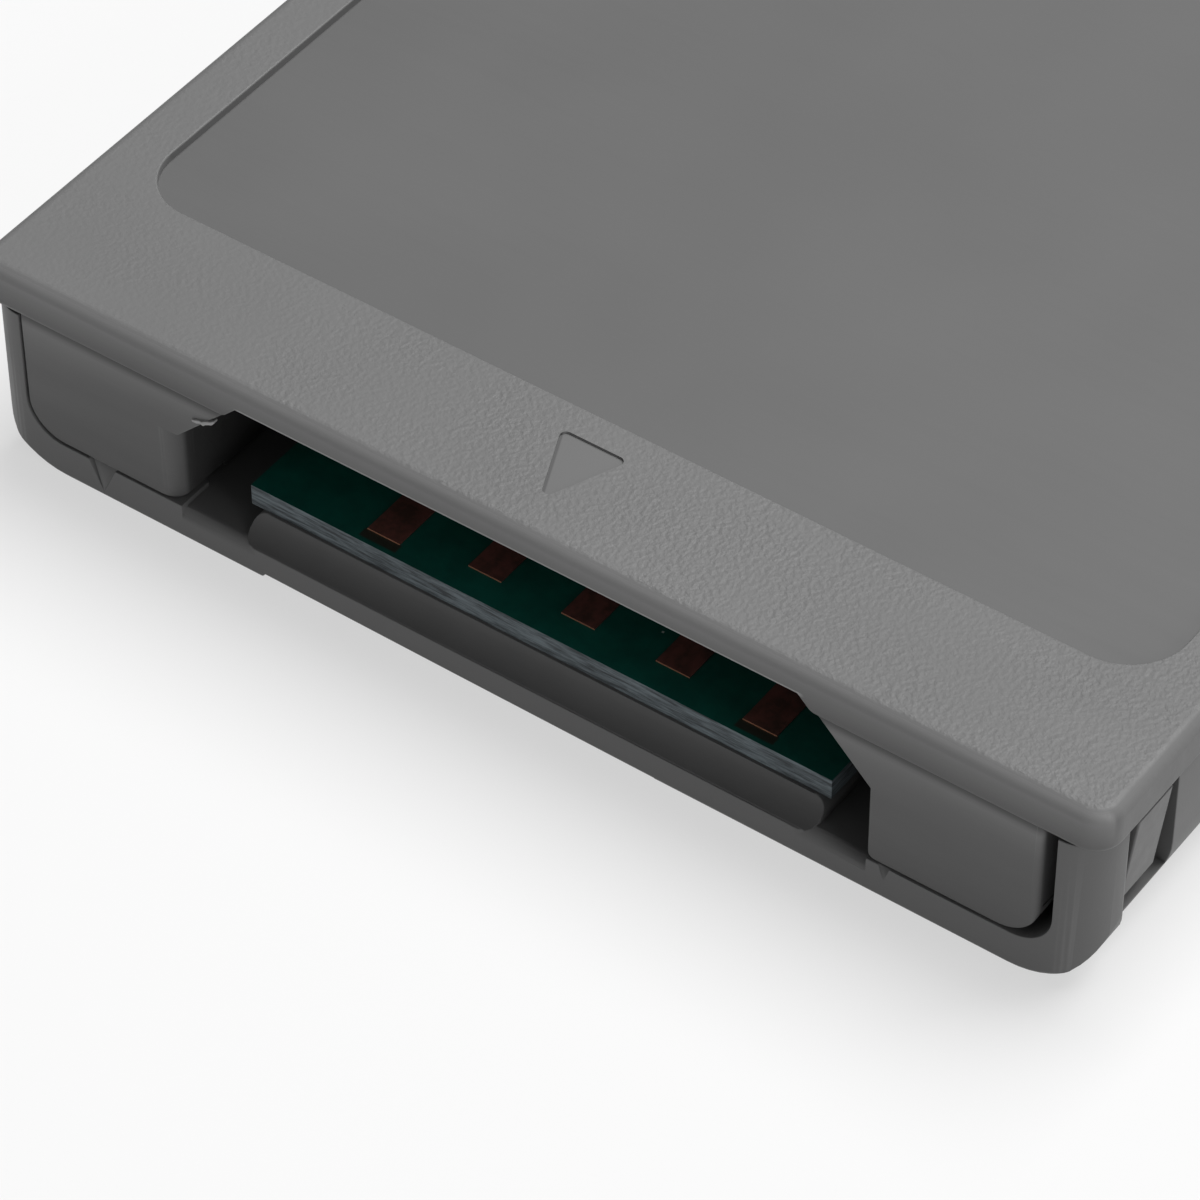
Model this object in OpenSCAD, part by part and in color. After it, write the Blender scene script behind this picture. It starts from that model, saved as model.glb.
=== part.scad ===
// Memory card adapter: a two-part moulded housing with a circuit board tongue in its front slot
// and a flash card socket behind its rear slot. Millimetres, +Z up, the front slot faces -Y.

/* [Housing] */
// Width over the lid
body_w = 42; // [40:0.5:46]
// Length from the front face to the rear face
body_l = 52; // [50:0.5:60]
// Height over the lid
body_h = 7.95; // [7.6:0.05:9]
// Thickness of the lid plate
lid_t = 1; // [0.8:0.05:1.3]
// How far the lid's rim hangs below the plate
rim_drop = 0.65; // [0.4:0.05:0.8]
// Rounding of the rim's lower edge
rim_under_r = 0.3; // [0.1:0.05:0.35]
// Width of the lid's rim
rim_w = 1.2; // [0.8:0.1:1.8]
// Corner radius of the lid seen from above
lid_corner_r = 0.95; // [0.8:0.05:2]
// Corner radius of the tray seen from above
tray_corner_r = 1.45; // [1.2:0.05:2.2]
// Rounding of the lid's top edge
lid_edge_r = 0.45; // [0.3:0.05:0.7]
// How far the side walls are set in from the rim
wall_reveal = 0.35; // [0.2:0.05:0.6]
// How far the corner pillars are set in from the rim
pillar_reveal = 0.15; // [0.1:0.05:0.3]
// Thickness of the tray's walls
wall_t = 1.5; // [1.2:0.1:1.8]
// Thickness of the tray's floor
floor_t = 1.2; // [1:0.05:1.4]
// Large rounding of the tray's lower side edges
keel_r = 2.9; // [2:0.1:3.4]
// How far the tray's front and rear faces are set in from the rim
front_reveal = 0.1; // [0.05:0.01:0.2]
// Rounding of the tray's front and rear edges
end_edge_r = 0.15; // [0.1:0.05:0.4]
// Open joint between tray and lid
seam_gap = 0.05; // [0.02:0.01:0.1]

/* [Label recess] */
// Border of the recess at the sides
recess_side = 2; // [1.5:0.1:4]
// Border of the recess at the front and rear
recess_end = 5.45; // [4.5:0.05:8]
// Corner radius of the recess
recess_r = 2.1; // [1:0.1:4]
// Depth of the recess
recess_depth = 0.3; // [0.1:0.05:0.5]
// Length of the insertion arrow
arrow_l = 2.6; // [1.5:0.1:3]
// Width of the insertion arrow
arrow_w = 2.45; // [1.5:0.1:4]
// Distance of the arrow's tip from the front face
arrow_tip_y = 1.75; // [1:0.05:2.2]
// Depth of the arrow
arrow_depth = 0.08; // [0.04:0.01:0.2]
// Corner radius of the arrow
arrow_r = 0.22; // [0.1:0.02:0.4]

/* [Front slot] */
// Clear width of the slot
slot_w = 26; // [25:0.1:28]
// How far the slot lies left of the middle
slot_shift = 0.1; // [0:0.05:0.3]
// Width of the slot's flat top between its sloping corners
slot_top_w = 20.9; // [19:0.1:23]
// Depth of the slot
slot_depth = 9; // [7:0.5:11]
// Thickness of the lid's front tabs
tab_t = 2.2; // [1.6:0.1:2.6]
// How far the tabs stand behind the rim's face
tab_set = 0.14; // [0.1:0.02:0.4]
// Height of the tabs' lower edge
tab_foot_z = 1.43; // [1.35:0.01:1.8]
// Rounding of the tabs' outer lower corners
tab_r = 1.4; // [0.8:0.1:1.8]
// Rounding of the tabs' lower corners beside the slot
tab_foot_r = 0.3; // [0.1:0.05:0.6]
// Rounding of the left tab's upright edge beside the slot
left_tab_edge_r = 0.8; // [0.4:0.05:1]
// Rounding of the right tab's upright edge beside the slot
right_tab_edge_r = 0.1; // [0.05:0.05:0.4]
// Rounding of the right tab's upright outer edge
tab_outer_r = 0.25; // [0.1:0.05:0.5]
// Joint between the left tab and its pillar
left_tab_gap = 0.06; // [0.04:0.01:0.5]
// Open gap between the right tab and its pillar
right_tab_gap = 0.5; // [0.1:0.05:0.6]
// Thickness of the corner pillars at the front
pillar_w = 1.5; // [1.2:0.05:1.6]
// Length of the corner pillars along the side
pillar_l = 1.9; // [1.7:0.05:2.1]
// Rounding of the pillars' rear edges
pillar_back_r = 0.4; // [0.2:0.05:0.45]
// Thickness of the slot's guide walls
guide_t = 1.6; // [1.2:0.1:1.8]
// Thickness of the wall behind the slot
slot_back_t = 1.2; // [0.8:0.1:1.6]

/* [Side notch] */
// Length of the notch in the side wall
notch_l = 2.8; // [2.6:0.05:3.2]
// Height of the notch floor
notch_z = 1.9; // [1.7:0.05:2.4]
// Length of the lid's side tab in the notch
side_tab_l = 1.85; // [1.5:0.05:2.1]
// How far the side tab leans in towards its foot
side_tab_draft = 0.45; // [0.2:0.05:0.6]

/* [Rail] */
// Width of the rail under the board's tongue
rail_w = 21.7; // [20:0.1:21.9]
// How far the rail lies right of the middle
rail_shift = 0.1; // [0:0.01:0.15]
// Height of the rail, where the board rests
rail_z = 1.92; // [1.8:0.02:2.1]
// Height of the rail's front edge
rail_lip_z = 1.13; // [0.9:0.01:1.18]
// Thickness of the rail's front edge
rail_lip_t = 0.05; // [0.02:0.01:0.15]
// Radius of the rail's hollow front
rail_hollow_r = 1.3; // [1.2:0.05:2]
// Distance of the hollow's rear end from the front face
rail_hollow_y = 1; // [0.8:0.05:1.1]
// Rounding of the rail's upper ends
rail_end_r = 0.5; // [0.3:0.05:0.8]
// Rounding of the rail's front corners seen from above
rail_corner_r = 0.6; // [0.3:0.05:0.8]
// Rounding of the floor's front edge beside the rail
floor_edge_r = 0.4; // [0.2:0.05:0.6]
// Depth of the relief under the front edge, at its left end
relief_depth = 0.22; // [0.05:0.01:0.3]
// How far left of the middle that relief starts
relief_x = 9.95; // [8:0.05:11]
// Width over which that relief runs out
relief_w = 26; // [10:0.5:26]
// Length of that relief
relief_l = 3; // [2:0.5:6]

/* [Gate marks] */
// Place of the wide trimmed gate on the front lip
left_gate_x = -16.35; // [-17:0.05:-15]
// Width of that gate mark
left_gate_w = 1.1; // [0.6:0.1:2]
// Height of that gate mark
left_gate_h = 1.15; // [0.5:0.05:1.15]
// Place of the narrow gate mark beside the slot
right_gate_x = 13.55; // [13.4:0.05:15]
// Width of the narrow gate mark
right_gate_w = 0.4; // [0.2:0.05:0.8]
// Height of the narrow gate mark
right_gate_h = 0.6; // [0.4:0.05:1]
// Angle at which the left gate mark leans back
left_gate_lean = 11; // [6:1:20]
// Angle at which the right gate mark leans back
right_gate_lean = 5; // [3:1:10]

/* [Circuit board] */
// Thickness of the board
board_t = 0.8; // [0.7:0.05:1]
// Room between the board and the tray's side walls
board_side_gap = 0.5; // [0.3:0.05:0.9]
// Width of the tongue
tongue_w = 22; // [21.8:0.05:22.6]
// Distance of the tongue's edge from the front face
tongue_set = 1.08; // [0.8:0.02:1.4]
// Number of edge contacts on the tongue
edge_contact_count = 5; // [5:1:5]
// Spacing of the edge contacts
edge_contact_pitch = 3.55; // [3.2:0.05:3.7]
// Width of an edge contact
edge_contact_w = 1.26; // [0.8:0.02:1.6]
// Length of an edge contact
edge_contact_l = 6; // [4:0.25:6.5]
// Thickness of the plated copper
edge_contact_t = 0.05; // [0.03:0.01:0.1]
// How far the row of edge contacts lies right of the middle
edge_contact_shift = 0.92; // [0:0.02:1.5]
// Bare strip in front of the two long outer contacts
long_contact_set = 0.54; // [0.3:0.02:0.8]
// Bare strip in front of the shorter contacts
short_contact_set = 1.03; // [0.8:0.02:1.6]

// Room between the slot's rear wall and the board's shoulders
shoulder_gap = 0.3; // [0.1:0.05:0.6]
// Room between the board and the tray's rear wall
board_end_gap = 1.5; // [0.5:0.1:1.8]

/* [Chips] */
// Length of a chip component
chip_l = 1.6; // [1:0.1:2]
// Width of a chip component
chip_w = 0.8; // [0.5:0.05:1.25]
// Height of the capacitor
capacitor_h = 0.8; // [0.5:0.05:1]
// Height of a resistor
resistor_h = 0.45; // [0.35:0.05:0.6]
// Length of a chip's end cap
chip_cap_l = 0.3; // [0.2:0.05:0.4]
// Thickness of the end caps' plating
chip_plate_t = 0.03; // [0.02:0.01:0.05]
// Place of the capacitor
capacitor_x = -6; // [-10:0.5:-2]
// Place of the resistor of the card detect line
detect_resistor_x = 3; // [0:0.5:4]
// Place of the resistor of the write protect line
protect_resistor_x = 6; // [5:0.5:10]

/* [Posts] */
// Diameter of the lid's posts
post_d = 3; // [2.6:0.1:3.2]
// Diameter of the pins on the posts
pin_d = 1.5; // [1.2:0.05:1.7]
// Clearance round a pin in its bore
pin_clear = 0.05; // [0.03:0.01:0.1]
// Clearance round a pin in the board
board_hole_clear = 0.15; // [0.1:0.01:0.25]
// Wall of the bosses, outside the posts' diameter
boss_wall = 0.3; // [0.1:0.05:0.3]
// Distance of the front posts from the front face
front_post_y = 13; // [12.6:0.1:16]
// Distance of the rear posts from the rear face
rear_post_y = 6; // [5:0.1:10]

/* [Card socket] */
// Width of the card bay
bay_w = 24.5; // [24.3:0.05:25]
// Height of the card bay
bay_h = 2.3; // [2.2:0.05:2.5]
// Length of the socket
socket_l = 28.4; // [27:0.1:30]
// Length of the block that holds the contacts
header_l = 3.5; // [3:0.1:4]
// Thickness of the socket's base plate
socket_base_t = 0.5; // [0.4:0.05:0.6]
// Length of that base plate behind the block
socket_base_l = 8; // [7:0.25:12]
// Thickness of the bay's side rails
bay_rail_t = 1.15; // [1:0.05:1.3]
// Thickness of the steel cover
cover_t = 0.2; // [0.15:0.01:0.25]
// Number of spring contacts
spring_count = 9; // [9:1:9]
// Spacing of the spring contacts
spring_pitch = 2.5; // [2.4:0.02:2.6]
// Width of a spring contact
spring_w = 0.8; // [0.6:0.05:1]
// Thickness of the spring strip
spring_t = 0.15; // [0.1:0.01:0.2]
// Length of the solder tails
tail_l = 1.4; // [1:0.1:2]
// How far the springs rise into the bay
spring_rise = 0.9; // [0.7:0.05:1.2]
// Length of the pockets of the two side springs
side_pocket_l = 5; // [4.8:0.1:6]
// Length of a side spring
side_spring_l = 4.4; // [3.6:0.1:4.6]
// Height of a side spring's strip
side_spring_h = 1; // [0.6:0.1:1.4]
// How far a side spring reaches into the bay
side_spring_reach = 0.35; // [0.2:0.05:0.6]
// Length of the cover's pressed windows
window_l = 7; // [4:0.5:9]
// Width of the cover's pressed windows
window_w = 3; // [2:0.1:4]
// Width of the slit round the tongue in a window
window_slit = 0.4; // [0.2:0.05:0.6]
// Distance of the windows from the middle
window_x = 6.5; // [4:0.25:9]
// Height of the sloping mouth of the card window
mouth_h = 0.35; // [0.2:0.05:0.4]
// Clearance at the rear end of the socket
socket_end_gap = 0.1; // [0.05:0.05:0.2]
// Running clearance between socket pieces
socket_clear = 0.05; // [0.03:0.01:0.08]

/* [Hidden] */
EDGE_CONTACTS = [for (i = [1:edge_contact_count]) str("edge_contact_", i)];
SPRINGS = [for (i = [1:spring_count]) str("socket_spring_", i)];
$fn = 48;

eps = 0.01;
// Heights, from the floor up
rim_z = body_h - lid_t - rim_drop;
lid_under_z = body_h - lid_t;
wall_top_z = rim_z - seam_gap;
board_z = rail_z;
board_top_z = board_z + board_t;
bay_z = board_top_z + socket_base_t;
cover_z = bay_z + bay_h;
// Half widths
lid_hw = body_w / 2;
wall_hw = lid_hw - wall_reveal;
pillar_hw = lid_hw - pillar_reveal;
cavity_hw = wall_hw - wall_t;
front_notch_hw = pillar_hw - pillar_w;
slot_hw = slot_w / 2;
slot_x0 = -slot_hw - slot_shift;
slot_x1 = slot_hw - slot_shift;
rail_x0 = rail_shift - rail_w / 2;
rail_x1 = rail_shift + rail_w / 2;
slot_slope = (slot_w - slot_top_w) / 2;
guide_hw = slot_hw + guide_t;
socket_hw = bay_w / 2 + bay_rail_t;
cover_hw = socket_hw + socket_clear + cover_t;
board_hw = cavity_hw - board_side_gap;
// Middle of the room beside the socket, where the posts stand
post_x = (cover_hw + cavity_hw) / 2;
// Distances from the front face
notch_end_y = pillar_l + notch_l;
slot_back_y = slot_depth + slot_back_t;
board_shoulder_y = slot_back_y + shoulder_gap;
board_end_y = body_l - wall_t - board_end_gap;
socket_end_y = body_l - wall_t - socket_end_gap;
socket_y = socket_end_y - socket_l;
header_end_y = socket_y + header_l;
spring_slot_l = socket_base_l - 1;
base_end_y = header_end_y + socket_base_l;
chip_row_y = (slot_back_y + socket_y - tail_l) / 2;
rear_y = body_l - rear_post_y;
POSTS = [for (sx = [-1, 1], y = [front_post_y, rear_y]) [sx * post_x, y]];
EDGE_ROW_X = edge_contact_shift - (edge_contact_count - 1) * edge_contact_pitch / 2;

// Moves a piece drawn from the front face to the frame's middle
module from_front() {
    translate([0, -body_l / 2, 0]) children();
}

// A flat outline in the width and height plane, pushed back along the length
module along_length(y0, y1) {
    translate([0, y1, 0]) rotate([90, 0, 0]) linear_extrude(y1 - y0) children();
}

// A flat outline in the length and height plane, centred across the width
module across_width(x0, x1) {
    translate([x0, 0, 0]) rotate([90, 0, 90]) linear_extrude(x1 - x0) children();
}

// Rectangle with four true round corners, given by its lower and upper corner
module round_rect(x0, y0, x1, y1, r) {
    translate([x0 + r, y0]) square([x1 - x0 - 2 * r, y1 - y0]);
    translate([x0, y0 + r]) square([x1 - x0, y1 - y0 - 2 * r]);
    for (x = [x0 + r, x1 - r], y = [y0 + r, y1 - r]) translate([x, y]) circle(r);
}

// What a round of radius r takes off a corner, drawn from the round's centre towards (sx, sy)
module corner_cut(r, sx, sy) {
    difference() {
        translate([sx > 0 ? 0 : -r - eps, sy > 0 ? 0 : -r - eps]) square(r + eps);
        circle(r);
    }
}

// Section from the corner centre outwards: a slab's rim with rounded outer edges
module rim_section(depth, h, r, low) {
    translate([0, low]) square([depth, h - r - low]);
    square([depth - low, h - r]);
    square([depth - r, h]);
    translate([depth - r, h - r]) intersection() {
        circle(r);
        square(r);
    }
    if (low > 0) translate([depth - low, low]) rotate(-90) intersection() {
        circle(low);
        square(low);
    }
}

// Slab on z = 0 with round corners seen from above and rounded top and bottom edges
module edged_slab(w, l, h, corner, edge, low = 0) {
    translate([corner, corner, 0]) cube([w - 2 * corner, l - 2 * corner, h]);
    for (far = [0, 1]) {
        translate([corner, far ? l - corner : corner, 0]) rotate([0, 0, far ? 0 : 180])
            mirror([far ? 0 : 1, 0, 0]) rotate([90, 0, 90])
                linear_extrude(w - 2 * corner) rim_section(corner, h, edge, low);
        translate([far ? w - corner : corner, corner, 0]) mirror([far ? 0 : 1, 0, 0])
            translate([0, l - 2 * corner, 0]) rotate([90, 0, 0])
                linear_extrude(l - 2 * corner) rim_section(corner, h, edge, low);
    }
    for (c = [[0, 0, 180], [1, 0, 270], [1, 1, 0], [0, 1, 90]])
        translate([c[0] ? w - corner : corner, c[1] ? l - corner : corner, 0])
            rotate([0, 0, c[2]]) rotate_extrude(angle = 90) rim_section(corner, h, edge, low);
}

// Outline of the front slot in the width and height plane, down to z0
module slot_outline(z0) {
    polygon([[slot_x0, z0], [slot_x1, z0], [slot_x1, lid_under_z - slot_slope],
             [slot_x1 - slot_slope, lid_under_z], [slot_x0 + slot_slope, lid_under_z],
             [slot_x0, lid_under_z - slot_slope]]);
}

// Triangle with round corners that points to the front
module arrow_outline() {
    half = arrow_w / 2 - arrow_r * 1.3;
    tip = [0, arrow_tip_y + arrow_r];
    base_y = arrow_tip_y + arrow_l - arrow_r;
    lean = atan2(half, base_y - tip[1]);
    n = arrow_r * [cos(lean), -sin(lean)];
    polygon([tip - [n[0], -n[1]], tip + n, [half, base_y] + n, [half, base_y + arrow_r],
             [-half, base_y + arrow_r], [-half - n[0], base_y + n[1]]]);
    translate(tip) circle(arrow_r);
    for (s = [-1, 1]) translate([s * half, base_y]) circle(arrow_r);
}

// Lid plate with its rim, label recess and insertion arrow
module lid_plate() {
    difference() {
        translate([-lid_hw, 0, rim_z])
            edged_slab(body_w, body_l, lid_t + rim_drop, lid_corner_r, lid_edge_r, rim_under_r);
        translate([rim_w - lid_hw, rim_w, rim_z - eps])
            cube([body_w - 2 * rim_w, body_l - 2 * rim_w, rim_drop + eps]);
        translate([0, 0, body_h - recess_depth]) linear_extrude(recess_depth + eps)
            round_rect(recess_side - lid_hw, recess_end, lid_hw - recess_side,
                       body_l - recess_end, recess_r);
        translate([0, 0, body_h - arrow_depth]) linear_extrude(arrow_depth + eps)
            arrow_outline();
    }
}

// Outline of the two front tabs with the bridge over the slot
module tab_outline() {
    x0 = left_tab_gap - front_notch_hw;
    x1 = front_notch_hw - right_tab_gap;
    difference() {
        union() {
            round_rect(x0, tab_foot_z, x1, lid_under_z - tab_r, tab_r);
            translate([x0, lid_under_z - 3 * tab_r]) square([x1 - x0, 3 * tab_r + eps]);
        }
        slot_outline(0);
        for (e = [[-1, slot_x0], [1, slot_x1]])
            translate([e[1] + e[0] * tab_foot_r, tab_foot_z + tab_foot_r])
                corner_cut(tab_foot_r, -e[0], -1);
    }
}

// Upright front edges of the tabs, as what their rounds take off
module tab_front_rounds() {
    for (e = [[-1, slot_x0, left_tab_edge_r], [1, slot_x1, right_tab_edge_r]])
        translate([e[1] + e[0] * e[2], tab_set + e[2], 0])
            linear_extrude(lid_under_z - slot_slope) corner_cut(e[2], -e[0], -1);
    translate([front_notch_hw - right_tab_gap - tab_outer_r, tab_set + tab_outer_r, 0])
        linear_extrude(rim_z) corner_cut(tab_outer_r, 1, -1);
}

// Guide walls of the slot with their sloping upper corners
module slot_guides() {
    along_length(tab_set + tab_t - eps, slot_depth + eps) difference() {
        translate([-guide_hw, tab_foot_z]) square([2 * guide_hw, lid_under_z - tab_foot_z + eps]);
        slot_outline(0);
    }
}

// Side tab that hangs from the rim into the notch of the side wall
module side_tab() {
    foot_x = lid_hw - side_tab_draft;
    along_length(pillar_l + seam_gap, pillar_l + seam_gap + side_tab_l)
        polygon([[cavity_hw, notch_z + seam_gap], [foot_x - side_tab_draft, notch_z + seam_gap],
                 [foot_x, notch_z + 2 * side_tab_draft], [lid_hw - seam_gap, rim_z + eps],
                 [cavity_hw, lid_under_z + eps]]);
}

// Post that presses on the board, with the pin that locates the tray
module lid_post() {
    translate([0, 0, board_top_z + seam_gap]) cylinder(h = lid_under_z - board_top_z, d = post_d);
    translate([0, 0, floor_t / 2 + seam_gap]) cylinder(h = lid_under_z - floor_t, d = pin_d);
}

module top_shell() {
    color("gray") from_front() {
        difference() {
            union() {
                lid_plate();
                along_length(tab_set, tab_set + tab_t) tab_outline();
            }
            along_length(-eps, tab_set + tab_t) slot_outline(0);
            tab_front_rounds();
        }
        slot_guides();
        translate([-guide_hw, slot_depth, board_top_z + 2 * seam_gap])
            cube([2 * guide_hw, slot_back_t, lid_under_z - board_top_z]);
        for (s = [0, 1]) mirror([s, 0, 0]) side_tab();
        for (p = POSTS) translate(p) lid_post();
    }
}

// Solid of the tray's outside with a given half width, from its front face to y1
module tray_outside(hw, y1) {
    l = y1 - front_reveal;
    intersection() {
        translate([-hw, y1, 0]) rotate([90, 0, 0])
            edged_slab(2 * hw, 2 * body_h, l, keel_r, end_edge_r);
        linear_extrude(wall_top_z)
            round_rect(-hw, front_reveal, hw, y1 + tray_corner_r, tray_corner_r);
    }
}

module tray_body() {
    half = body_l / 2;
    tray_outside(wall_hw, half);
    tray_outside(pillar_hw, pillar_l);
    translate([0, body_l, 0]) mirror([0, 1, 0]) tray_outside(wall_hw, half);
}

// Room inside the tray
module tray_cavity() {
    along_length(wall_t, body_l - wall_t)
        round_rect(-cavity_hw, floor_t, cavity_hw, 2 * body_h, keel_r - wall_t);
}

// Cut in the tray's front wall that takes the tabs and opens the slot
module front_notch() {
    along_length(-eps, tab_set + tab_t + seam_gap)
        round_rect(-front_notch_hw, tab_foot_z - seam_gap, front_notch_hw, 2 * body_h, tab_r);
    along_length(-eps, wall_t + eps) translate([slot_x0, floor_t]) square([slot_w, body_h]);
}

// Rail under the tongue
module tongue_rail() {
    intersection() {
        along_length(front_reveal, slot_back_y)
            round_rect(rail_x0, floor_t / 2, rail_x1, rail_z, rail_end_r);
        linear_extrude(body_h)
            round_rect(rail_x0, front_reveal, rail_x1, slot_back_y + rail_corner_r, rail_corner_r);
    }
}

// What the rail's hollow front takes off the rail and the floor under it
module rail_hollow() {
    lip_y = front_reveal + rail_lip_t;
    chord = [rail_hollow_y - lip_y, rail_z - rail_lip_z];
    len_c = norm(chord);
    away = sqrt(rail_hollow_r * rail_hollow_r - len_c * len_c / 4);
    mid = [lip_y + chord[0] / 2, rail_lip_z + chord[1] / 2];
    across_width(rail_x0, rail_x1) {
        translate(mid + away / len_c * [-chord[1], chord[0]]) circle(rail_hollow_r);
        translate([-1, rail_lip_z]) square([1 + lip_y, body_h]);
    }
}

// Blocks beside the tongue and behind the slot
module slot_back_blocks() {
    for (s = [0, 1]) mirror([s, 0, 0])
        translate([tongue_w / 2 + 2 * seam_gap, slot_depth + 2 * seam_gap, floor_t - eps])
            cube([guide_hw - tongue_w / 2 - 2 * seam_gap, slot_back_t - 2 * seam_gap,
                  board_top_z - floor_t]);
}

// Boss that carries the board, with the bore for the lid's pin
module board_boss() {
    translate([0, 0, floor_t - eps]) cylinder(h = board_z - floor_t + eps, d = post_d + 2 * boss_wall);
}

// Trimmed moulding gate on the front lip: a small triangle that leans back at its top
module gate_mark(x, w, h, lean) {
    translate([x, front_reveal + h * sin(lean), tab_foot_z - seam_gap]) rotate([90 - lean, 0, 0])
        linear_extrude(wall_t)
            polygon([[-w / 2, h], [-w / 2, 0], [0, -h], [w / 2, 0], [w / 2, h]]);
}

// Window for the flash card in the rear wall, with a sloping mouth
module card_window() {
    x = bay_w / 2;
    along_length(body_l - wall_t - eps, body_l + eps)
        translate([-x, bay_z - socket_clear]) square([bay_w, bay_h]);
    translate([0, body_l - front_reveal, 0]) across_width(-x, x)
        polygon([[eps, bay_z - mouth_h], [-mouth_h, bay_z], [-mouth_h, cover_z - 2 * socket_clear],
                 [eps, cover_z + mouth_h]]);
}

module bottom_shell() {
    color("dimgray") from_front() difference() {
        union() {
            difference() {
                tray_body();
                tray_cavity();
                front_notch();
                for (s = [0, 1]) mirror([s, 0, 0]) translate([cavity_hw - eps, pillar_l, notch_z])
                    cube([wall_t + 1, notch_l, body_h]);
                across_width(slot_x0, slot_x1)
                    translate([front_reveal + floor_edge_r, floor_t - floor_edge_r])
                        corner_cut(floor_edge_r, -1, 1);
            }
            tongue_rail();
            slot_back_blocks();
            for (p = POSTS) translate(p) board_boss();
        }
        for (p = POSTS) translate([p[0], p[1], floor_t / 2])
            cylinder(h = body_h, d = pin_d + 2 * pin_clear);
        rail_hollow();
        card_window();
        along_length(-eps, relief_l) translate([-relief_x, 0])
            polygon([[0, -eps], [relief_w, -eps], [0, relief_depth]]);
        for (s = [-1, 1]) translate([s * (pillar_hw - pillar_back_r), pillar_l - pillar_back_r,
                                     notch_z]) linear_extrude(body_h) corner_cut(pillar_back_r, s, 1);
        gate_mark(left_gate_x, left_gate_w, left_gate_h, left_gate_lean);
        gate_mark(right_gate_x, right_gate_w, right_gate_h, right_gate_lean);
    }
}

module circuit_board() {
    color("darkgreen") from_front() difference() {
        translate([0, 0, board_z]) linear_extrude(board_t) {
            translate([-tongue_w / 2, tongue_set])
                square([tongue_w, board_shoulder_y - tongue_set + 1]);
            translate([-board_hw, board_shoulder_y])
                square([2 * board_hw, board_end_y - board_shoulder_y]);
        }
        for (p = POSTS) translate([p[0], p[1], board_z - eps])
            cylinder(h = board_t + 2 * eps, d = pin_d + 2 * board_hole_clear);
    }
}

// One plated contact on the tongue, counted from the left
module edge_contact(i) {
    outer = i == 1 || i == edge_contact_count;
    y = tongue_set + (outer ? long_contact_set : short_contact_set);
    color("sienna") from_front()
        translate([EDGE_ROW_X + (i - 1) * edge_contact_pitch - edge_contact_w / 2, y, board_top_z])
            cube([edge_contact_w, edge_contact_l, edge_contact_t]);
}

// Moulded body of the card socket: contact block, base plate and side rails
module card_socket_body() {
    color("#202224") from_front() difference() {
        union() {
            translate([-socket_hw, socket_y, board_top_z])
                cube([2 * socket_hw, header_l, cover_z - board_top_z]);
            translate([-socket_hw, header_end_y - eps, board_top_z])
                cube([2 * socket_hw, socket_base_l, socket_base_t]);
            for (x = [-socket_hw, bay_w / 2]) translate([x, header_end_y - eps, board_top_z])
                cube([bay_rail_t, socket_l - header_l, cover_z - board_top_z]);
        }
        for (i = [1:spring_count]) {
            translate([spring_x(i) - spring_w / 2 - socket_clear, socket_y - eps, board_top_z - eps])
                cube([spring_w + 2 * socket_clear, header_l + 2 * eps,
                      spring_t + socket_clear + eps]);
            translate([spring_x(i) - spring_w / 2 - spring_t, header_end_y - 2 * eps,
                       board_top_z - eps])
                cube([spring_w + 2 * spring_t, spring_slot_l, socket_base_t + 2 * eps]);
        }
        for (k = [0, 1]) side_spring_pocket(k);
    }
}

function spring_x(i) = (i - (spring_count + 1) / 2) * spring_pitch;

// Spring strip: solder tail, flat run through the block, rise and rounded nose
module socket_spring(i) {
    run = spring_slot_l - 1;
    nose_z = bay_z + spring_rise - spring_t;
    path = [[socket_y - tail_l, board_top_z], [header_end_y, board_top_z],
            [header_end_y + run * 3 / 4, nose_z], [header_end_y + run * 7 / 8, nose_z],
            [header_end_y + run, bay_z + spring_rise / 2]];
    back = [for (k = [len(path) - 1:-1:0]) path[k] + [0, spring_t]];
    color("gold") from_front()
        across_width(spring_x(i) - spring_w / 2, spring_x(i) + spring_w / 2)
            polygon(concat(path, back));
}

// Front ends of the pockets for the two side springs
function side_pocket_y(k) = base_end_y + (k + 1 / 3) * (socket_end_y - base_end_y) / 2;

module side_spring_pocket(k) {
    translate([bay_w / 2 - eps, side_pocket_y(k), board_top_z - eps])
        cube([bay_rail_t * 0.7, side_pocket_l, cover_z - board_top_z - cover_t]);
}

// Bent strip that feels the card's edge; it stands on the board in its pocket
module side_spring(k) {
    x = bay_w / 2;
    foot_x = x + bay_rail_t / 2;
    foot_l = side_spring_l / 5;
    strip_z = cover_z - (bay_h + side_spring_h) / 2;
    y = side_pocket_y(k) + (side_pocket_l - side_spring_l) / 2;
    face = [[foot_x, y], [foot_x, y + foot_l], [x - side_spring_reach, y + side_spring_l * 0.55],
            [x + side_spring_reach, y + side_spring_l]];
    back = [for (j = [3:-1:0]) face[j] + [spring_t, 0]];
    color("gold") from_front() {
        translate([0, 0, strip_z]) linear_extrude(side_spring_h) polygon(concat(face, back));
        translate([foot_x, y, board_top_z]) cube([spring_t, foot_l, strip_z + eps - board_top_z]);
    }
}

// Folded steel cover over the socket, with two pressed spring windows
module card_socket_cover() {
    hw = cover_hw;
    top = cover_z + socket_clear + cover_t;
    color("silver") from_front() difference() {
        along_length(socket_y, socket_end_y) difference() {
            round_rect(-hw, board_top_z - 2, hw, top, 2 * cover_t);
            round_rect(cover_t - hw, board_top_z - 3, hw - cover_t, top - cover_t,
                       2 * socket_clear);
            translate([-hw - 1, board_top_z - 4]) square([2 * hw + 2, 4]);
        }
        for (s = [-1, 1]) translate([s * window_x - window_w / 2, base_end_y + 1, cover_z])
            difference() {
                cube([window_w, window_l, 1]);
                translate([window_slit, -eps, -eps])
                    cube([window_w - 2 * window_slit, window_l - window_slit, 1.1]);
            }
    }
}

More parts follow.
